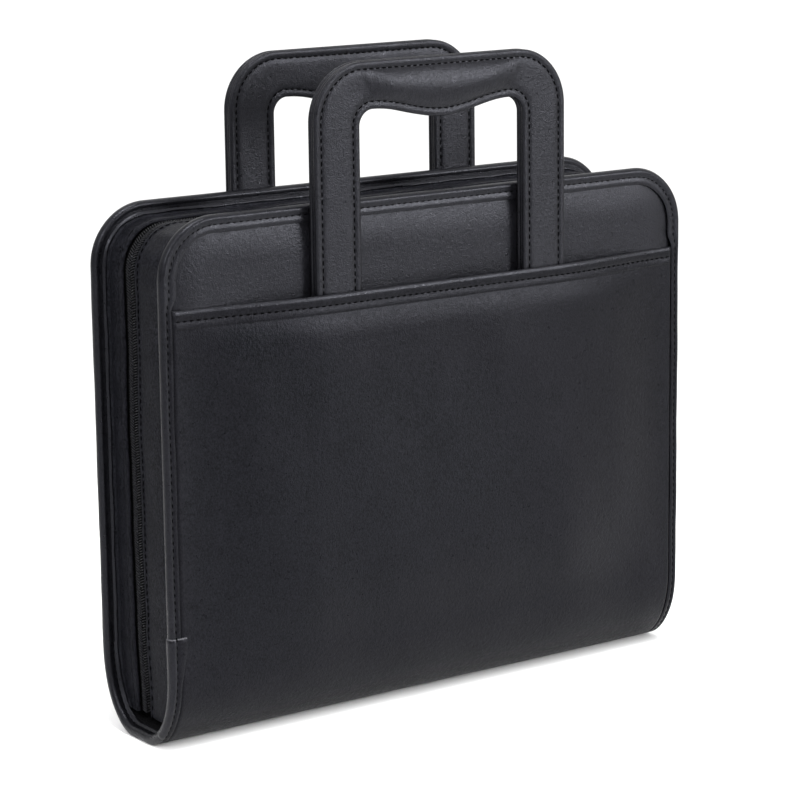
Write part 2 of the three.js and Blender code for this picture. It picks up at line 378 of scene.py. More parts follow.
def leather(name, light, rough, specular, grain=1.0):
    """Black leather: specks and faint clouds of tone, uneven gloss, small pebbles and wrinkles."""
    material, tree, shader, place = new_material(name)
    cloud = mapped_noise(tree, place, CLOUD_SCALE, 4.0, 0.0, CLOUD_SHARE)
    specks = mapped_noise(tree, place, SPECK_SCALE, 3.0, 0.0, 1.0 - CLOUD_SHARE)
    pebbles = tree.nodes.new("ShaderNodeTexVoronoi")
    pebbles.feature = "SMOOTH_F1"
    feed(tree, pebbles, {"Vector": place, "Scale": PEBBLE_SCALE, "Smoothness": PEBBLE_SOFT})
    bump = add_bump(tree, pebbles.outputs["Distance"], PEBBLE_RISE * grain, PEBBLE_DEPTH)
    wrinkles = mapped_noise(tree, place, WRINKLE_SCALE, 3.0, 0.0, 1.0)
    bump = add_bump(tree, wrinkles, WRINKLE_RISE * grain, WRINKLE_DEPTH, bump)
    gloss = mapped_noise(tree, place, GLOSS_SCALE, 4.0, rough - GLOSS_SPREAD, rough + GLOSS_SPREAD)
    feed(tree, shader, {
        "Base Color": colour_ramp(tree, combine(tree, "ADD", cloud, specks), DEEP_BLACK, light),
        "Roughness": gloss,
        "Normal": bump,
        "Specular IOR Level": specular,
        "Specular Tint": COOL_SHEEN,
    })
    return material


def plain_fibre(name, colour, rough, scale, strength, specular):
    """Thread, backing or a cut edge: dull, with a fine fibrous bump."""
    material, tree, shader, place = new_material(name)
    fibre = mapped_noise(tree, place, scale, 2.0, 0.0, 1.0)
    feed(tree, shader, {
        "Base Color": colour_ramp(tree, fibre, *np.outer(FIBRE_SHADES, colour)),
        "Normal": add_bump(tree, fibre, strength, FIBRE_DEPTH),
        "Roughness": rough,
        "Specular IOR Level": specular,
    })
    return material


def woven(name, colour):
    """The zip's tape: a close weave of threads along and across."""
    material, tree, shader, place = new_material(name)
    heights = []
    for direction in ("X", "Y", "Z"):
        wave = add_node(tree, "ShaderNodeTexWave", {
            "Vector": place, "Scale": WEAVE_SCALE, "Distortion": WEAVE_UNEVEN,
        })
        wave.bands_direction = direction
        heights.append(wave.outputs["Fac"])
    weave = combine(tree, "ADD", combine(tree, "MULTIPLY", heights[0], heights[1]), heights[2])
    feed(tree, shader, {
        "Base Color": colour_ramp(tree, weave, *np.outer(WEAVE_SHADES, colour)),
        "Normal": add_bump(tree, weave, *WEAVE_BUMP),
        "Roughness": 0.85,
        "Specular IOR Level": 0.05,
    })
    return material


def nylon(name, colour):
    """The zip's coil: smooth thread with an uneven gloss and light scuffs."""
    material, tree, shader, place = new_material(name)
    scuffs = mapped_noise(tree, place, SCUFF_SCALE, 2.0, 0.0, 1.0)
    feed(tree, shader, {
        "Base Color": (*colour, 1),
        "Normal": add_bump(tree, scuffs, *SCUFF_BUMP),
        "Roughness": mapped_noise(tree, place, NYLON_SCALE, 2.0, *NYLON_ROUGH),
        "Specular IOR Level": 0.3,
        "Specular Tint": COOL_SHEEN,
    })
    return material


def painted_metal(name, colour):
    """Black enamel on the slider, thinner and brighter on its edges."""
    material, tree, shader, place = new_material(name)
    edges = tree.nodes.new("ShaderNodeNewGeometry").outputs["Pointiness"]
    feed(tree, shader, {
        "Base Color": colour_ramp(tree, edges, colour, WORN_METAL, *WEAR),
        "Roughness": mapped_noise(tree, place, ENAMEL_SCALE, 3.0, *ENAMEL_ROUGH),
        "Metallic": 0.6,
    })
    return material


COVER_LEATHER = leather("cover_leather", SOFT_BLACK, rough=0.345, specular=0.083)
# Panels and handles: the cover's leather with the lighter black of painted light, and more gloss
PANEL_LIT_LEATHER = leather("panel_lit_leather", PANEL_LIT_BLACK, rough=0.34, specular=0.15)
BINDING_LEATHER = leather("binding_leather", SOFT_BLACK, rough=0.33, specular=0.175, grain=0.7)
HANDLE_LIT_LEATHER = leather("handle_leather", PANEL_LIT_BLACK, rough=0.34, specular=0.17)
GUSSET_LEATHER = leather("gusset_leather", GUSSET_BLACK, rough=0.34, specular=0.018)
HEM_LEATHER = leather("hem_leather", SOFT_BLACK, rough=0.34, specular=0.2)

# Fibres: colour, roughness, scale, strength of the bump and specular
# The cut edge's grey is partly the tape's raw backing and partly a painted highlight along the lap's
# top
RAW_EDGE_AND_HIGHLIGHT = plain_fibre("raw_edge_and_highlight", (0.045, 0.045, 0.05), 0.8, 1500.0, 0.4, 0.2)
BACKING = plain_fibre("leather_backing", (0.006, 0.006, 0.007), 0.9, 700.0, 0.6, 0.2)
# The thread is blacker than the leather: partly its own black, partly painted shade of the stitch holes
THREAD_AND_HOLE_SHADE = plain_fibre("thread", (0.0006, 0.0006, 0.0007), 0.9, 2500.0, 0.5, 0.01)

# The zip tape is near black: partly its own colour, partly painted shade in the gaps between the coil's
# loops
ZIP_CLOTH_AND_GAP_SHADE = woven("zip_cloth", (0.0008, 0.0008, 0.001))
ZIP_NYLON = nylon("zip_nylon", (0.002, 0.002, 0.0024))
ZIP_METAL = painted_metal("zip_metal", (0.012, 0.012, 0.013))

# Lines of the case: columns are the place, the way out past the rim and the way out of the face

LINE_STEP = 0.5
RIM_TURNS = 90
GUSSET_TURNS = 70
SPINE_TURNS = 120


def arch_line(inset, low, turns):
    """X, Z and the way out along a cover's left side, top and right side, at an inset from its rim."""
    radius = CORNER - inset
    rows = [(inset - HALF_WIDTH, z, -1, 0) for z in np.arange(low, CORNER_Z, LINE_STEP)]
    for turn in np.linspace(math.pi, math.pi / 2, turns):
        out = math.cos(turn), math.sin(turn)
        rows.append((radius * out[0] - CORNER_X, CORNER_Z + radius * out[1], *out))
    rows += [(x, COVER_TOP - inset, 0, 1) for x in np.arange(LINE_STEP - CORNER_X, 0, LINE_STEP)]
    left = np.array(rows)
    return np.vstack([left, left[::-1] * (-1, 1, -1, 1)]).T


def cover_line(side):
    """The rim of the front cover, side -1, or of the back cover, side 1."""
    x, z, out_x, out_z = arch_line(0.0, SPINE_TOP, RIM_TURNS)
    still = np.zeros_like(x)
    face_y = still + side
    return np.stack([x, face_y * HALF_DEPTH, z, out_x, still, out_z, still, face_y, still], 1)


def spine_curve():
    """The outer face of the spine from the front wall to the back wall: Y, Z and its way out."""
    turn = np.linspace(0, math.pi / 2, SPINE_TURNS)
    across = HALF_DEPTH - FOOT_HALF
    front = np.stack([
        -FOOT_HALF - across * np.cos(turn), SPINE_TOP * (1 - np.sin(turn)),
        -np.cos(turn) / across, -np.sin(turn) / SPINE_TOP,
    ], 1)
    front[:, 2:] = unit(front[:, 2:])
    foot = np.array([(y, 0, 0, -1) for y in np.arange(LINE_STEP - FOOT_HALF, FOOT_HALF, LINE_STEP)])
    return np.vstack([front, foot, front[::-1] * (-1, 1, -1, 1)])


def spine_line(end):
    """The rim of the spine's left end, -1, or of its right end, 1."""
    y, z, face_y, face_z = spine_curve()[1:-1].T
    still = np.zeros_like(y)
    out_x = still + end
    return np.stack([out_x * HALF_WIDTH, y, z, out_x, still, still, still, face_y, face_z], 1)


def rim_loop():
    """The whole rim as one closed line, with a whole number of stitches in it."""
    line = np.vstack([cover_line(-1), spine_line(1), cover_line(1)[::-1], spine_line(-1)[::-1]])
    rows, along = resample(line, 2 * round(line_length(line[:, :3], True) / PITCH), True)
    rows[:, 3:6], rows[:, 6:9] = unit(rows[:, 3:6]), unit(rows[:, 6:9])
    return rows, along


def gusset_line():
    """The gusset's line up the left side, over the top and down the right side: place and way out."""
    x, z, out_x, out_z = arch_line(GUSSET_INSET, GUSSET_END, GUSSET_TURNS)
    still = np.zeros_like(x)
    line = np.stack([x, still, z, out_x, still, out_z], 1)
    rows, along = resample(line, 2 * round(line_length(line[:, :3]) / PITCH) + 1, False)
    rows[:, 3:6] = unit(rows[:, 3:6])
    return rows, along


RIM, RIM_ALONG = rim_loop()
RIM_AT, RIM_OUT, RIM_FACE = RIM[:, 0:3], RIM[:, 3:6], RIM[:, 6:9]
RIM_LENGTH = line_length(RIM_AT, True)
GUSSET, GUSSET_ALONG = gusset_line()
GUSSET_AT, GUSSET_OUT = GUSSET[:, 0:3], GUSSET[:, 3:6]

# Bound rim

SEAM_NARROW = 3.5
SEAM_WIDE = 5.2
RIM_HOLE = 0.5
HOLE_HALF = 0.55
VALLEY_HALF = 1.3
OUTSIDE_VALLEY = 0.38
INSIDE_VALLEY = 0.6
INSIDE_SEAM = 5.0
INSIDE_PUFF = 0.9
PUFF_LEAN = 1.3
LIP_WORN = 0.3
WORN_WIDE = 1.1

# Columns of the section: shares of the lip past the seam, steps about the seam and shares of the roll
LIP_SHARES = (1, 0.97, 0.88, 0.72, 0.5)
SEAM_STEPS = (1.3, 0.7, 0.0, -0.6, -1.1)
ROLL_SHARES = (0.95, 0.8, 0.62, 0.45, 0.28, 0.13, 0.03)
FLAT_COLUMNS = len(LIP_SHARES) + len(SEAM_STEPS) - 1

# Waves are rows of length, height and phase, in millimetres
LIP_WAVES = [(23.0, 0.06, 0.4), (57.0, 0.12, 1.9)]
INSIDE_WAVES = [(19.0, 0.2, 1.0), (47.0, 0.3, 0.3), (9.0, 0.08, 2.7)]
RIM_WAVES = [(83.0, 0.16, 0.0), (31.0, 0.08, 1.3)]

# Lapped end of the tape: shares run along it from its tail to its cut edge
OVERLAP_TOP = 68.0
OVERLAP_TAIL = 44.0
OVERLAP_LIP = 9.8
OVERLAP_THICK = 0.7
OVERLAP_BEVEL = 0.7
OVERLAP_SLANT = 0.7
OVERLAP_TUCK = 0.3
OVERLAP_LEAST = 0.15
LIFT_SHARES = (0.1, 0.9)
WIDEN_SHARES = (0.55, 0.95)
TINY = 1e-9

# Along the rim: share above the pockets, lip and seam outside, lip inside and height of the wave
ABOVE = smooth(MOUTH, MOUTH + LIP_CHANGE, RIM_AT[:, 2])
LIP = LIP_NARROW + (LIP_WIDE - LIP_NARROW) * ABOVE + ripple(RIM_ALONG, LIP_WAVES)
SEAM = SEAM_NARROW + (SEAM_WIDE - SEAM_NARROW) * ABOVE
INSIDE = LIP_INSIDE + ripple(RIM_ALONG, INSIDE_WAVES)
RIM_RISE = ripple(RIM_ALONG, RIM_WAVES)

# Along the lapped end: its stations on the rim, shares, and how far it stands off the tape under it
SPACING = RIM_LENGTH / len(RIM)
LAP = np.arange(-int(OVERLAP_TAIL / SPACING), int((OVERLAP_TOP - SPINE_TOP) / SPACING))
LAP_SHARE = np.linspace(0, 1, len(LAP))
LAP_LIFT = OVERLAP_THICK * (OVERLAP_LEAST + (1 - OVERLAP_LEAST) * smooth(*LIFT_SHARES, LAP_SHARE))


def tape_height(inward, seam, lip, hole, valley, puff=0.0):
    """Height of the folded tape over the rim's middle plane, at a distance in from the rim."""
    rolled = RIM_HALF * quarter_round(inward, RIM_ROUND)
    pulled = valley * dip(inward - seam, VALLEY_HALF)
    pierced = hole * dip(inward - seam, HOLE_HALF)
    worn = LIP_WORN * smooth(lip - WORN_WIDE, lip, inward)
    puffed = puff * np.sin(math.pi * np.clip((inward - seam) / (lip - seam), 0, 1) ** PUFF_LEAN)
    return rolled - pulled - pierced - worn + puffed


def tape_face(lip, seam, hole, valley, puff):
    """Distances in from the rim and heights of one face of the tape, from its lip to its roll."""
    places = [seam + (lip - seam) * share for share in LIP_SHARES]
    places += [seam + step for step in SEAM_STEPS]
    places += [np.full(len(lip), RIM_ROUND * share) for share in ROLL_SHARES]
    heights = [tape_height(inward, seam, lip, hole, valley, puff) for inward in places]
    return np.stack(places, 1), np.stack(heights, 1)


def tape_section(lip, seam, inside, hole, rise):
    """The tape's visible side, from its outer lip over the rim to its inner lip."""
    inside_seam = np.full(len(lip), INSIDE_SEAM)
    outer_in, outer_up = tape_face(lip, seam, hole, OUTSIDE_VALLEY, 0.0)
    inner_in, inner_up = tape_face(inside, inside_seam, hole, INSIDE_VALLEY, INSIDE_PUFF)
    edge = np.zeros((len(lip), 1))
    inward = np.hstack([outer_in, edge, inner_in[:, ::-1]])
    up = np.hstack([outer_up + rise[:, None], edge, -inner_up[:, ::-1]])
    return inward, up


def on_rim(inward, up, pick):
    """Points of the rim's section at the picked stations."""
    raised = RIM_AT[pick, None] + RIM_FACE[pick, None] * (up - RIM_HALF)[:, :, None]
    return raised - RIM_OUT[pick, None] * inward[:, :, None]


def flat_faces(rows, ring):
    """Numbers of the faces of the tape's flat part outside, in these rows."""
    return [int(row) * ring + column for row in rows for column in range(FLAT_COLUMNS)]


def edge_binding():
    """The folded tape round the whole rim, as dull as the cover beside the pockets."""
    every = np.arange(len(RIM))
    inward, up = tape_section(LIP, SEAM, INSIDE, holes(every, RIM_HOLE), RIM_RISE)
    fold, slot = np.full(len(RIM), TAPE_FOLD), np.full(len(RIM), SLOT_HALF)
    inward = np.column_stack([inward, INSIDE, fold, fold, LIP])
    up = np.column_stack([up, -slot, -slot, slot, slot])
    ring = inward.shape[1]
    faces = grid_faces(len(RIM), ring, True, True)
    piece = make_piece("edge_binding_tape", on_rim(inward, up, every), faces, BINDING_LEATHER,
                       ["edge_binding"])
    add_material(piece, COVER_LEATHER, flat_faces(np.flatnonzero(RIM_AT[:, 2] < MOUTH), ring))
    face_out(piece)


def binding_overlap():
    """The tape's cut end, lapped over its start at the lower front left corner."""
    widened = smooth(*WIDEN_SHARES, LAP_SHARE)
    lip = LIP_NARROW + (OVERLAP_LIP - LIP_NARROW) * widened
    inward, up = tape_section(lip, SEAM[LAP], INSIDE[LAP], holes(LAP, RIM_HOLE), RIM_RISE[LAP])
    off = unit(np.stack([-np.gradient(up, axis=1), np.gradient(inward, axis=1)], 2) + TINY)
    layers = []
    for lift in (LAP_LIFT, np.full(len(LAP), -OVERLAP_TUCK)):
        moved = off * lift[:, None, None]
        layers.append(on_rim(inward - moved[:, :, 0], up - moved[:, :, 1], LAP))
    outer, inner = layers
    tip = OVERLAP_BEVEL * unit(inner[-1] - inner[-2])
    slanted = (1 - OVERLAP_SLANT) * outer[-1] + OVERLAP_SLANT * inner[-1]
    outer = np.vstack([outer, (slanted + tip)[None]])
    inner = np.vstack([inner, (inner[-1] + tip)[None]])
    rows, columns = outer.shape[:2]
    piece = make_piece("binding_overlap", np.stack([outer, inner]), shell_faces(rows, columns),
                       BINDING_LEATHER)
    add_material(piece, COVER_LEATHER, flat_faces(range(rows - 1), columns - 1))
    # The lap's cut end gets the raw edge's grey, partly a painted highlight
    add_material(piece, RAW_EDGE_AND_HIGHLIGHT, range((rows - 2) * (columns - 1), (rows - 1) * (columns - 1)))
    face_out(piece)


def sew_rim():
    """A row of stitches on each face of the tape."""
    along = unit(np.roll(RIM_AT, -1, 0) - np.roll(RIM_AT, 1, 0))
    outer = tape_height(SEAM, SEAM, LIP, RIM_HOLE, OUTSIDE_VALLEY) + RIM_RISE
    outer[LAP] += LAP_LIFT
    inside_seam = np.full(len(RIM), INSIDE_SEAM)
    inner = -tape_height(inside_seam, inside_seam, INSIDE, RIM_HOLE, INSIDE_VALLEY)
    pick = np.arange(0, len(RIM), 2)
    for name, inward, up, way in (
        ("rim_stitches_outside", SEAM, outer, 1),
        ("rim_stitches_inside", inside_seam, inner, -1),
    ):
        centres = on_rim(inward[pick, None], up[pick, None], pick)[:, 0]
        sew(name, centres, along[pick], way * RIM_FACE[pick])


# Wrap with its pockets

WRAP_CLEAR = 0.3
WRAP_THINNEST = 0.05
HEM_SEAM = 6.0
HEM_THICK = 2.4
HEM_FOLD = 2.2
HEM_EDGE = 9.8
HEM_STEP = 0.45
STEP_SPAN = (HEM_EDGE - 0.3, HEM_EDGE + 0.5)
HEM_VALLEY = 0.5
HEM_HOLE = 0.35
HEM_HOLE_HALF = 0.5
HEM_SIDE = LIP_SIDE - 2.4
HEM_STITCH_END = 8.0
HEM_SWELL = 2.3
SWELL_REACH = 14.0
POCKET_CROWN = 0.5
CROWN_REACH = 55.0

# Where the pocket's forms fade: from and to, away from the middle or up from the foot
BULGE_ACROSS = (80.0, 172.0)
BULGE_UP = (22.0, 90.0)
CROWN_ACROSS = (60.0, 168.0)
SWELL_ACROSS = (120.0, 166.0)
SWELL_UP = (40.0, 130.0)
SAG_SIDE = 30.0
SAG_END = 40.0
SAG_LEAN = 0.35
SAG_WAVES = [(97.0, 0.25, 0.7), (61.0, 0.18, 2.1)]
TUCK = 1.5
TUCK_ACROSS = (LIP_SIDE - 1.3, LIP_SIDE + 0.2)

# Rows of the mesh down from the mouth and about the hem's edge, and its columns about the lip's edge
HEM_ROWS = (0, 0.12, 0.4, 0.85, 1.5, 2.2, 3.0, 4.2, 5.1, 5.6, 6.0, 6.4, 6.9, 8.0)
EDGE_ROWS = (-0.6, -0.25, 0.1, 0.5, 1.1, 2.0, 3.2, 4.8, 6.6, 8.6, 10.8, 13.2)
WALL_FROM = 26.0
WALL_ROWS = 33
SPINE_ROWS = 44
LIP_COLUMNS = (1.2, 0.3, -0.3, -0.9, -1.6, -2.6)
MIDDLE_SIDE = LIP_SIDE - 3.6
FAR_DOWN = 1000.0


def wrap_rows():
    """Y, Z and way out of the rows from mouth to mouth, and how far down from the mouth each lies."""
    edge = HEM_EDGE + np.array(EDGE_ROWS)
    wall = np.r_[HEM_ROWS, edge, np.linspace(WALL_FROM, MOUTH - SPINE_TOP, WALL_ROWS)]
    still = np.zeros_like(wall)
    front = np.stack([still - HALF_DEPTH, MOUTH - wall, still - 1, still], 1)
    spine, _ = resample(np.insert(spine_curve(), 2, 0, 1), SPINE_ROWS, False)
    spine = np.delete(spine, 2, 1)[1:-1]
    rows = np.vstack([front, spine, front[::-1] * (-1, 1, -1, 1)])
    rows[:, 2:] = unit(rows[:, 2:])
    down = np.r_[wall, np.full(len(spine), FAR_DOWN), wall[::-1]]
    return rows, down


def wrap_columns():
    """Places from side to side: close together under the tape's lip, half a stitch apart between."""
    drop = np.r_[HALF_WIDTH - TAPE_FOLD - WRAP_CLEAR, LIP_SIDE + np.array(LIP_COLUMNS)]
    count = round(2 * MIDDLE_SIDE / (PITCH / 2))
    middle = np.linspace(-MIDDLE_SIDE, MIDDLE_SIDE, count + count % 2 + 1)
    return np.r_[-drop, middle, drop[::-1]]


def sewn_columns(columns):
    """Whether a column has a stitch: every second one, counted from the middle."""
    return (np.arange(len(columns)) - len(columns) // 2) % 2 == 0


def pillow(x, z, across, up):
    """1 in the middle of a pocket, fading to its sides and to its foot."""
    return (1 - smooth(*across, np.abs(x))) * smooth(*up, z)


def wrap_rise(x, z):
    """How far the wrap's outer face stands out of the covers' outer face."""
    bulge = POCKET_BULGE * pillow(x, z, BULGE_ACROSS, BULGE_UP)
    crown = POCKET_CROWN * dome(MOUTH - z, CROWN_REACH) * pillow(x, z, CROWN_ACROSS, SWELL_UP)
    swell = HEM_SWELL * dome(MOUTH - HEM_EDGE - z, SWELL_REACH) * pillow(x, z, SWELL_ACROSS, SWELL_UP)
    sag = ripple(x + SAG_LEAN * z, SAG_WAVES) * smooth(LIP_SIDE, LIP_SIDE - SAG_SIDE, np.abs(x))
    sag = sag * smooth(0, SAG_END, z) * smooth(MOUTH, MOUTH - SAG_END, z)
    tuck = TUCK * smooth(*TUCK_ACROSS, np.abs(x))
    return bulge + crown + swell + sag - tuck


def wrap_levels(rows, down, columns):
    """How far the outer and the inner side stand out, with the hems."""
    x, z, depth = columns[None, :], rows[:, 1:2], down[:, None]
    rise = wrap_rise(x, z)
    hem_here = 1 - smooth(HEM_SIDE, LIP_SIDE, np.abs(x))
    turned = HEM_THICK / 2 * (1 - quarter_round(depth, HEM_FOLD))
    step = HEM_STEP * (1 - smooth(*STEP_SPAN, depth))
    pulled = HEM_VALLEY * dip(depth - HEM_SEAM, VALLEY_HALF)
    pierced = HEM_HOLE * dip(depth - HEM_SEAM, HEM_HOLE_HALF) * sewn_columns(columns)
    outer = rise + (step - turned - pulled - pierced) * hem_here
    inner = np.minimum(rise + turned * hem_here - LEATHER, outer - WRAP_THINNEST)
    return outer, inner


def outer_wrap():
    """The wrap from the front pocket's mouth round the spine to the back pocket's mouth."""
    rows, down = wrap_rows()
    columns = wrap_columns()
    layers = []
    for level in wrap_levels(rows, down, columns):
        x = np.broadcast_to(columns, level.shape)
        y = rows[:, 0:1] + rows[:, 2:3] * level
        z = rows[:, 1:2] + rows[:, 3:4] * level
        layers.append(np.stack([x, y, z], 2))
    faces = shell_faces(len(rows), len(columns))
    piece = make_piece("wrap", np.stack(layers), faces, COVER_LEATHER, ["outer_wrap"])
    quads = (len(rows) - 1) * (len(columns) - 1)
    folded = int((down < HEM_FOLD).sum() / 2 * (len(columns) - 1))
    add_material(piece, BACKING, range(quads, 2 * quads))
    add_material(piece, HEM_LEATHER, [*range(folded), *range(quads - folded, quads)])
    face_out(piece)
    sew_hems(layers[0], down, columns)


def sew_hems(outer, down, columns):
    """A row of stitches along the hem of each pocket."""
    row = int(np.argmin(np.abs(down - HEM_SEAM)))
    pick = np.flatnonzero(sewn_columns(columns) & (np.abs(columns) < HALF_WIDTH - HEM_STITCH_END))
    for side, name in ((1, "hem_stitches_front"), (-1, "hem_stitches_back")):
        sew(name, outer[row][pick] * (1, side, 1), (1.0, 0, 0), (0, -1.0 * side, 0))


# Padded covers: levels are from the rim's middle plane

PANEL_CROWN = 1.7
CROWN_WIDE = 17.0
PANEL_EDGE = 1.3
PANEL_TONGUE = -0.4
PANEL_BACK = -2.7
PANEL_INSET = 2.4
TONGUE_END = 5.0
PANEL_STEP = LIP_WIDE - 0.6
PANEL_DENT = 0.16
PANEL_DENTS = ((17, 0.6), (13, 0.3))
DENT_SPAN = (12, 30)

# Rows of the mesh: from, to and how many, below the pocket's mouth and up to the corners
HIDDEN_ROWS = (PANEL_LOW[2], MOUTH - 12, 8)
UPPER_ROWS = (MOUTH - 8, CORNER_Z - 2, 10)
CORNER_ROWS = 26
PANEL_COLUMNS = 120


def rim_distance(x, z):
    """Distance of a point of a cover from its rim, up to the corner's radius."""
    past_x, past_z = np.maximum(np.abs(x) - CORNER_X, 0), np.maximum(z - CORNER_Z, 0)
    return CORNER - np.hypot(past_x, past_z)


def panel_grid():
    """X and Z of the points of a cover, close together at its rim."""
    radius = CORNER - PANEL_INSET
    arc = CORNER_Z + radius * np.sin(np.linspace(0, math.pi / 2, CORNER_ROWS))
    z = np.r_[np.linspace(*HIDDEN_ROWS), np.linspace(*UPPER_ROWS), arc]
    rounded = CORNER_X + np.sqrt(np.clip(radius**2 - (z - CORNER_Z) ** 2, 0, None))
    half = np.where(z > CORNER_Z, rounded, HALF_WIDTH - PANEL_INSET)
    x = half[:, None] * np.sin(np.linspace(-math.pi / 2, math.pi / 2, PANEL_COLUMNS))
    return x, np.broadcast_to(z[:, None], x.shape)


def panel(name, node, side):
    """A padded cover with a thin edge in the tape. side is -1 at the front and 1 at the back."""
    x, z = panel_grid()
    inset = rim_distance(x, z)
    edge = PANEL_TONGUE + (PANEL_EDGE - PANEL_TONGUE) * smooth(TONGUE_END, PANEL_STEP, inset)
    dented = PANEL_DENT * dents(x, z, *PANEL_DENTS) * smooth(*DENT_SPAN, inset)
    crown = edge + PANEL_CROWN * dome(inset - PANEL_STEP, CROWN_WIDE) + dented
    layers = []
    for level in (crown, PANEL_BACK):
        y = np.broadcast_to(side * (HALF_DEPTH - RIM_HALF + level), x.shape)
        layers.append(np.stack([x * -side, y, z], 2))
    faces = shell_faces(*x.shape)
    piece = make_piece(name, np.stack(layers), faces, PANEL_LIT_LEATHER, [node])
    face_out(piece)


# Gusset: its lower ends are drawn down into the spine, and the zip turns in there

STRIP_WAVES = [(61.0, 0.5, 0.9), (37.0, 0.3, 2.4), (143.0, 0.5, 0.2)]
FOLD_WAVES = [(71.0, 0.35, 0.5), (29.0, 0.16, 1.7), (163.0, 0.5, 2.5)]
PUCKERS = [(15.0, 0.8, 0.4), (9.5, 0.4, 1.6)]
PUCKER_FADE = 12.0
ZIP_TURN = 4.0
ZIP_SHIFT = -1.5
TURN_HIGH = 55.0
REACH_FROM = 60.0
REACH_LOW = 12.0

# A strip's section: its arch, the flange on the cover, and the turned and sewn edge beside the zip
STRIP_ARCH = 0.9
STRIP_SWELL = 0.4
FLANGE_RISE = 2.0
FLANGE_WIDE = 1.4
FOLD_RIDGE = 0.8
RIDGE_SPAN = (2.8, 4.4)
FOLD_ROUND = 1.1
FOLD_DROP = 1.0
FOLD_PLY = 0.6
PLY_SPAN = (4.5, 6.5)
BACK_GAP = 1.4
STRIP_SEAM = 3.0
STRIP_HOLE = 0.3
STRIP_VALLEY = 0.25
STRIP_VALLEY_HALF = 0.6
STRIP_THINNEST = 0.03
UNDER_INSET = 0.02

# Columns of a strip: shares of its width from the cover, then distances from the fold
STRIP_SHARES = np.r_[-0.01, 0.01, 0.03, 0.07, np.linspace(0.12, 0.8, 8)]
FOLD_PLACES = (4.6, 3.9, 3.4, STRIP_SEAM, 2.6, 2.1, 1.5, 0.95, 0.5, 0.18, 0.0)

# Along the gusset: 1 on its rounded corners, and how far the zip's line wavers and turns in low down
CORNER_SHARE = smooth(CORNER_Z - PUCKER_FADE, CORNER_Z, GUSSET_AT[:, 2]) * smooth(
    CORNER_X - PUCKER_FADE, CORNER_X, np.abs(GUSSET_AT[:, 0]))
FOLD_WAVER = ripple(GUSSET_ALONG, FOLD_WAVES)
TURN_IN = ZIP_TURN * (1 - smooth(GUSSET_END, GUSSET_END + TURN_HIGH, GUSSET_AT[:, 2])) ** 2


def reach_down(z):
    """Draws the heights of the gusset's lower ends down towards the spine."""
    drawn = REACH_LOW + (z - GUSSET_END) * (REACH_FROM - REACH_LOW) / (REACH_FROM - GUSSET_END)
    return np.where(z < REACH_FROM, drawn, z)


def spine_inside(z):
    """How far from the middle the inside of the walls and of the spine lies at a height."""
    thick = 2 * RIM_HALF
    share = np.clip(1 - (z - thick) / (SPINE_TOP - thick), 0, 1)
    return FOOT_HALF + (HALF_DEPTH - FOOT_HALF - thick) * np.sqrt(1 - share**2)


def on_gusset(across, height):
    """Points of the gusset: Y values and heights over its line at every station."""
    points = GUSSET_AT[:, None] + GUSSET_OUT[:, None] * height[:, :, None]
    points[:, :, 1] = across
    points[:, :, 2] = reach_down(points[:, :, 2])
    return points


def strip_section(width, sewn):
    """Places across a strip and heights at every station: its upper side, then its under side back."""
    places = np.r_[width * STRIP_SHARES, width - np.array(FOLD_PLACES)]
    back = width - places
    swell = ripple(GUSSET_ALONG, STRIP_WAVES) + CORNER_SHARE * ripple(GUSSET_ALONG, PUCKERS)
    arch = (STRIP_ARCH + STRIP_SWELL * swell[:, None]) * np.sin(math.pi * np.clip(places / width, 0, 1))
    ridge = FOLD_RIDGE * (1 - smooth(*RIDGE_SPAN, back))
    flange = FLANGE_RISE * (1 - smooth(0, FLANGE_WIDE, places))
    turned = FOLD_DROP * (1 - quarter_round(back, FOLD_ROUND))
    upper = arch + ridge + flange - turned
    if sewn:
        pull = STRIP_VALLEY + holes(np.arange(len(GUSSET)), STRIP_HOLE)
        upper = upper - pull[:, None] * dip(back - STRIP_SEAM, STRIP_VALLEY_HALF)
    thick = LEATHER + FOLD_PLY * (1 - smooth(*PLY_SPAN, back))
    under = np.minimum(upper + 2 * turned - thick, upper - STRIP_THINNEST)
    return np.r_[places, places[::-1] - UNDER_INSET], np.hstack([upper, under[:, ::-1]])


def strip(name, node, cover_y, zip_y, sewn):
    """A leather strip from a cover to its turned edge beside the zip."""
    fold_y = zip_y + ZIP_SHIFT
    way = math.copysign(1, fold_y - cover_y)
    width = abs(fold_y - cover_y)
    fold = fold_y + FOLD_WAVER - TURN_IN
    edge = -way * np.minimum(abs(cover_y), spine_inside(reach_down(GUSSET_AT[:, 2])))
    places, heights = strip_section(width, sewn)
    points = on_gusset(edge[:, None] + (fold - edge)[:, None] * (places / width), heights)
    faces = tube_faces(len(GUSSET), len(places))
    piece = face_out(make_piece(name, points, faces, GUSSET_LEATHER, [node]))
    if sewn:
        seam = points[:, len(STRIP_SHARES) + FOLD_PLACES.index(STRIP_SEAM)]
        along = unit(np.gradient(seam, axis=0))
        pick = np.arange(0, len(GUSSET), 2)
        sew(name + "_stitches", seam[pick], along[pick], GUSSET_OUT[pick])


# Zip

ZIP_WAVER = 0.8
ZIP_TAPE_THICK = 0.9
ZIP_TAPE_COLUMNS = 15
COIL_PITCH = 1.5
COIL_WIDE = 9.4
COIL_LEAN = 0.4
COIL_SINK = 1.1
COIL_SPLIT = COIL_WIDE / 4 - 0.1
COIL_LOOP = (COIL_WIDE / 2 + 0.4, 0.62, 1.7)

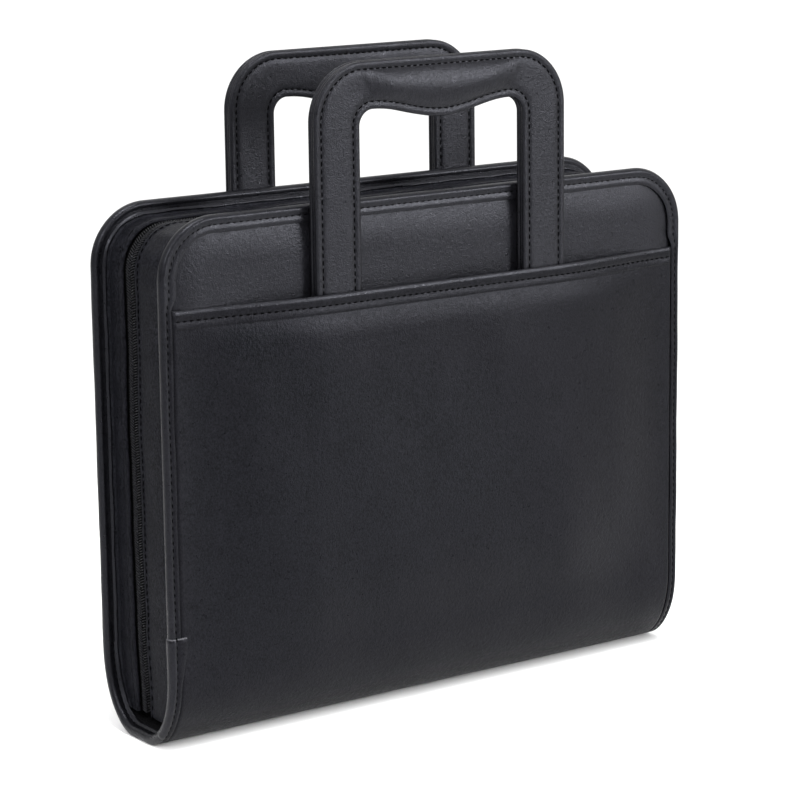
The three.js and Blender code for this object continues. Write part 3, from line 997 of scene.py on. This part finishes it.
# Slider: rows of X from its outer face, Y from the zip's middle and Z from its top, each from and to
SLIDER_LONG = 14.0
PULL_TOP = 4.0
SLIDER_BLOCKS = {
    "plate": ((-4.6, -2.3), (-5.0, 5.0), (-SLIDER_LONG, 0.0)),
    "front_wall": ((-7.1, -4.4), (-5.1, -3.7), (-SLIDER_LONG, 0.0)),
    "back_wall": ((-7.1, -4.4), (3.7, 5.1), (-SLIDER_LONG, 0.0)),
    "lug": ((-2.6, -0.6), (-1.8, 1.8), (PULL_TOP - SLIDER_LONG, -PULL_TOP)),
    "pull": ((-1.5, -0.1), (-3.5, 3.5), (SLIDER_LOW[2] - SLIDER_HIGH[2], -PULL_TOP)),
}
SLIDER_ROUND = 0.5


def zip_line():
    """The zip's line with its sideways waver, which turns in at the lower ends."""
    middle = (COIL_LOW[1] + COIL_HIGH[1]) / 2 + ZIP_SHIFT
    return middle + ZIP_WAVER * FOLD_WAVER - TURN_IN


def zip_tape():
    """The flat woven tape under the coil and under the edges of both strips."""
    half = (TAPE_HIGH[1] - TAPE_LOW[1]) / 2
    level = GUSSET_INSET - (HALF_WIDTH - TAPE_HIGH[0])
    places = np.linspace(-half, half, ZIP_TAPE_COLUMNS)
    across = zip_line()[:, None] + np.r_[places, places[::-1]]
    levels = np.repeat((level, level - ZIP_TAPE_THICK), ZIP_TAPE_COLUMNS)
    points = on_gusset(across, np.broadcast_to(levels, across.shape))
    faces = tube_faces(*across.shape)
    # The tape's near-black shows through the coil's gaps as painted shade
    piece = make_piece("zip_tape_cloth", points, faces, ZIP_CLOTH_AND_GAP_SHADE, ["zip_tape"])
    face_out(piece)


def zip_coil():
    """Two rows of nylon loops that lean towards each other and lock along the middle."""
    path = np.stack([GUSSET_AT[:, 0], zip_line(), reach_down(GUSSET_AT[:, 2])], 1)
    loops = 2 * int(line_length(path) / COIL_PITCH)
    rows, _ = resample(np.hstack([path, GUSSET_OUT]), loops, False)
    centre, out = rows[2:-2, 0:3], unit(rows[2:-2, 3:6])
    along = unit(np.gradient(centre, axis=0))
    across = unit(np.cross(out, along))
    row = np.where(np.arange(len(centre)) % 2 == 0, 1.0, -1.0)[:, None]
    lift = COIL_HIGH[0] - (HALF_WIDTH - GUSSET_INSET) - COIL_SINK
    centres = centre + out * lift + across * row * COIL_SPLIT
    leaning = unit(across * row + COIL_LEAN * along)
    beside = unit(np.cross(out, leaning))
    points, faces = scatter(bead(6, 6), centres, leaning, beside, out, COIL_LOOP)
    make_piece("zip_coil_loops", points, faces, ZIP_NYLON, ["zip_coil"])


def zip_slider():
    """The slider's body and pull: rounded copies of the plain solid's blocks."""
    origin = SLIDER_HIGH[0], (SLIDER_LOW[1] + SLIDER_HIGH[1]) / 2, SLIDER_HIGH[2]
    points, faces = [], []
    for spans in SLIDER_BLOCKS.values():
        low, high = origin + np.array(spans).T
        faces += [tuple(len(points) + k for k in face) for face in shell_faces(2, 2)]
        points += [np.where(corner, high, low) for corner in np.ndindex(2, 2, 2)]
    piece = make_piece("zip_slider_and_pull", points, faces, ZIP_METAL, ["zip_slider"])
    bevel = piece.modifiers.new("rounded", "BEVEL")
    bevel.width = SLIDER_ROUND * MM
    bevel.segments = 3


# Handles

LEG_WIDE = 29.5
GRIP_ENDS = 26.0
GRIP_WAVE = 7.0
HANDLE_CORNER = 32.0
WINDOW_CORNER = 9.0
HANDLE_THICK = 7.2
HANDLE_SEAM = 4.4
FACE_HALF = HANDLE_THICK / 2
FACE_FROM = 2.0
HANDLE_HALF = HANDLE_HIGH[0]
HANDLE_TOP = HANDLE_HIGH[2]
HANDLE_BACK = -HANDLE_HIGH[1]
WINDOW_HALF = HANDLE_HALF - LEG_WIDE
TURN_Z = HANDLE_TOP - HANDLE_CORNER
LEG_STEPS = 62
CORNER_STEPS = 26
GRIP_STEPS = 30

# Edge of a handle's plies and of its core: distance in, and height over the middle plane
EDGE_PROFILE = [
    (1.1, 1.2), (0.35, 1.4), (0.04, 1.9), (0.0, 2.5), (0.22, 3.1), (0.8, 3.45), (1.8, 3.58), (3.0, 3.5),
    (3.8, 3.2), (HANDLE_SEAM, 2.92), (5.0, 3.2), (5.9, 3.45), (7.5, 3.56),
]
CORE_EDGE = [(0.9, 1.0), (0.4, 0.6), (0.4, -0.6), (0.9, -1.0)]
FACE_SHARES = np.linspace(0, 1, 11)[1:-1]
HANDLE_SEAMS = ("outer_edge_outside", "inner_edge_outside", "inner_edge_inside", "outer_edge_inside")

# Padding of the grip: its rise, where it fades, its dents, and folds of place, lean, width and depth
PAD_RISE = 3.0
PAD_FULLNESS = 0.9
PAD_SPAN = (WINDOW_HALF - 24, WINDOW_HALF + 8)
LOOSE = 0.12
LOOSE_DENTS = ((7.3, 0.4), (9.1, 1.1))
GRIP_FOLDS = [(50.5, 0.5, 1.3, 0.3), (46.5, 0.3, 1.2, 0.22), (42.0, 0.15, 1.4, 0.14)]
FOLD_MIDDLE = HANDLE_TOP - 14
FOLD_FULLNESS = 1.5
FOLD_SPAN = (TURN_Z + 4, TURN_Z + 14)


def handle_edge(half, corner, top, wave):
    """X and Z of an edge of a handle, from its left leg's end to the middle of its grip."""
    straight, turn_z = half - corner, top - corner
    leg = np.linspace(HANDLE_LOW[2], turn_z, LEG_STEPS, endpoint=False)
    turn = np.linspace(math.pi, math.pi / 2, CORNER_STEPS)
    share = np.linspace(0, 1, GRIP_STEPS)[1:]
    x = np.r_[np.full(LEG_STEPS, -half), corner * np.cos(turn) - straight, straight * (share - 1)]
    z = np.r_[leg, turn_z + corner * np.sin(turn), top - wave * np.sin(math.pi / 2 * share) ** 2]
    return np.stack([x, z], 1)


def handle_lines():
    """Pairs of points on the outer and the inner edge, from the left leg's end to the right leg's."""
    outer = handle_edge(HANDLE_HALF, HANDLE_CORNER, HANDLE_TOP, 0.0)
    inner = handle_edge(WINDOW_HALF, WINDOW_CORNER, HANDLE_TOP - GRIP_ENDS, GRIP_WAVE)
    left = np.hstack([outer, inner])
    return np.vstack([left, left[-2::-1] * (-1, 1, -1, 1)])


def handle_columns():
    """Columns round the section: a distance, the share of the width to add, and a height."""
    near = [(inward, 0, height) for inward, height in EDGE_PROFILE]
    far = [(-inward, 1, height) for inward, height in EDGE_PROFILE[::-1]]
    flat = EDGE_PROFILE[-1][0]
    middle = [(flat * (1 - 2 * share), share, FACE_HALF) for share in FACE_SHARES]
    front = np.array(near + middle + far)
    back = front[::-1] * (1, 1, -1)
    far_core = [(-inward, 1, height) for inward, height in CORE_EDGE]
    near_core = [(inward, 0, -height) for inward, height in CORE_EDGE]
    return np.vstack([front, far_core, back, near_core]).T


def grip_pad(outer, arch):
    """Rise of the padding, which fills the grip and fades into the corners."""
    along_grip = 1 - smooth(*PAD_SPAN, np.abs(outer[:, 0:1]))
    return PAD_RISE * arch**PAD_FULLNESS * along_grip * (outer[:, 1:2] > TURN_Z)


def grip_folds(x, z, arch):
    """Depth of the slanting folds where the padding ends."""
    folds = np.zeros_like(x)
    for place, lean, half, depth in GRIP_FOLDS:
        folds += depth * dip(np.abs(x) - place - lean * (z - FOLD_MIDDLE), half)
    return folds * arch**FOLD_FULLNESS * smooth(*FOLD_SPAN, z)


def handle(name, node, body, way):
    """A two-ply handle with a padded grip. way is 1 at the front and -1 at the back."""
    lines = handle_lines()
    outer, span = lines[:, 0:2], lines[:, 2:4] - lines[:, 0:2]
    width = np.linalg.norm(span, axis=1)[:, None]
    start, share, height = handle_columns()
    place = start + share * width
    flat = outer[:, None] + (span / width)[:, None] * place[:, :, None]
    x, z = flat[:, :, 0], flat[:, :, 1]
    arch = np.sin(math.pi * np.clip((place - HANDLE_SEAM) / (width - 2 * HANDLE_SEAM), 0, 1))
    loose = LOOSE * dents(x, z, *LOOSE_DENTS) * arch
    padded = grip_pad(outer, arch) - grip_folds(x, z, arch) + loose
    lifted = np.where(height > FACE_FROM, padded, np.where(height < -FACE_FROM, LOOSE + loose, 0.0))
    y = -(HANDLE_BACK + FACE_HALF + height + lifted)
    points = np.stack([x * way, y * way, z], 2)
    faces = tube_faces(*x.shape)
    piece = face_out(make_piece(name, points, faces, HANDLE_LIT_LEATHER, [node], body))
    for row, column in zip(HANDLE_SEAMS, np.flatnonzero(np.abs(start) == HANDLE_SEAM)):
        sew_handle(f"{name}_stitches_{row}", points[:, column], -way * np.sign(height[column]), body)


def sew_handle(name, line, facing, body):
    """A row of stitches along a line on a face of a handle."""
    spread, _ = resample(line, round(line_length(line) / PITCH), False)
    spread = spread[1:-1]
    sew(name, spread, unit(np.gradient(spread, axis=0)), (0, facing, 0), body)


# Stage, light and camera: the camera's place is in millimetres, the lights' places are in metres

CAMERA_TURN = -35.4
CAMERA_RISE = 11.9
CAMERA_ROLL = -0.7
CAMERA_DISTANCE = 1668.0
CAMERA_TARGET = (0.8, 0.0, 167.4)
CAMERA_LENS = 131.3

FLOOR_SIZE = 40.0
FLOOR_WHITE = (0.88, 0.88, 0.88, 1)
FLOOR_SCALE = 3.0
FLOOR_ROUGH = (0.75, 0.85)
HORIZON_LIGHT = 0.12
ZENITH_LIGHT = 1.35
ZENITH_FROM = 0.42

# Lights: name, place, target, width and height, power in watts and spread in degrees
LIGHTS = [
    ("front_right_box", (1.35, -1.95, 0.9), (0, 0, 0.3), (0.9, 1.2), 5.0, 40),
    ("foot_light", (-0.1, -0.7, 2.2), (0, -0.15, 0), (1.0, 1.0), 3.3, 30),
    ("left_box", (-1.4, -1.0, 1.3), (0, 0, 0.2), (0.45, 0.55), 15.0, 180),
]


def add_camera():
    data = bpy.data.cameras.new("camera")
    data.sensor_width = 36.0
    data.lens = CAMERA_LENS
    data.clip_end = 100.0
    camera = bpy.data.objects.new("camera", data)
    bpy.context.scene.collection.objects.link(camera)
    turn, rise = math.radians(CAMERA_TURN), math.radians(CAMERA_RISE)
    back = Vector((math.sin(turn) * math.cos(rise), -math.cos(turn) * math.cos(rise), math.sin(rise)))
    place = Vector(CAMERA_TARGET) * MM + back * CAMERA_DISTANCE * MM
    aim = (-back).to_track_quat("-Z", "Y").to_matrix().to_4x4()
    roll = Matrix.Rotation(math.radians(CAMERA_ROLL), 4, "Z")
    camera.matrix_world = Matrix.Translation(place) @ aim @ roll
    bpy.context.scene.camera = camera


def add_floor():
    bpy.ops.mesh.primitive_plane_add(size=FLOOR_SIZE, location=(0, 0, 0))
    floor = bpy.context.object
    floor.name = "floor"
    material, tree, shader, place = new_material("floor_paper")
    gloss = mapped_noise(tree, place, FLOOR_SCALE, 3.0, *FLOOR_ROUGH)
    feed(tree, shader, {"Base Color": FLOOR_WHITE, "Roughness": gloss, "Specular IOR Level": 0.1})
    floor.data.materials.append(material)


def add_world():
    """White light from all sides, weak at the horizon and full from well above it."""
    world = bpy.data.worlds.new("studio")
    world.use_nodes = True
    tree = world.node_tree
    heading = tree.nodes.new("ShaderNodeTexCoord").outputs["Generated"]
    parts = add_node(tree, "ShaderNodeSeparateXYZ", {"Vector": heading})
    sky = add_node(tree, "ShaderNodeMapRange", {
        "Value": parts.outputs["Z"], "From Min": 0.0, "From Max": ZENITH_FROM,
        "To Min": HORIZON_LIGHT, "To Max": ZENITH_LIGHT,
    })
    sky.interpolation_type = "SMOOTHSTEP"
    feed(tree, tree.nodes["Background"], {"Color": (1, 1, 1, 1), "Strength": sky.outputs["Result"]})
    bpy.context.scene.world = world
    bpy.context.scene.view_settings.view_transform = "Standard"


def add_light(name, place, target, size, power, spread):
    data = bpy.data.lights.new(name, "AREA")
    data.shape = "RECTANGLE"
    data.size, data.size_y = size
    data.energy = power
    data.spread = math.radians(spread)
    light = bpy.data.objects.new(name, data)
    bpy.context.scene.collection.objects.link(light)
    light.location = place
    light.rotation_mode = "QUATERNION"
    light.rotation_quaternion = (Vector(target) - Vector(place)).to_track_quat("-Z", "Y")


add_camera()
edge_binding()
binding_overlap()
sew_rim()
outer_wrap()
panel("front_panel_pad", "front_panel", -1)
panel("back_panel_pad", "back_panel", 1)
strip("gusset_front_strip", "gusset_front", GUSSET_FRONT_LOW[1], GUSSET_FRONT_HIGH[1], True)
strip("gusset_back_strip", "gusset_back", GUSSET_BACK_HIGH[1], GUSSET_BACK_LOW[1] + BACK_GAP, False)
zip_tape()
zip_coil()
zip_slider()
handle("front_handle_leather", "front_handle", "front_handle", 1)
handle("back_handle_leather", "back_handle", "back_handle", -1)
add_floor()
add_world()
for light_row in LIGHTS:
    add_light(*light_row)
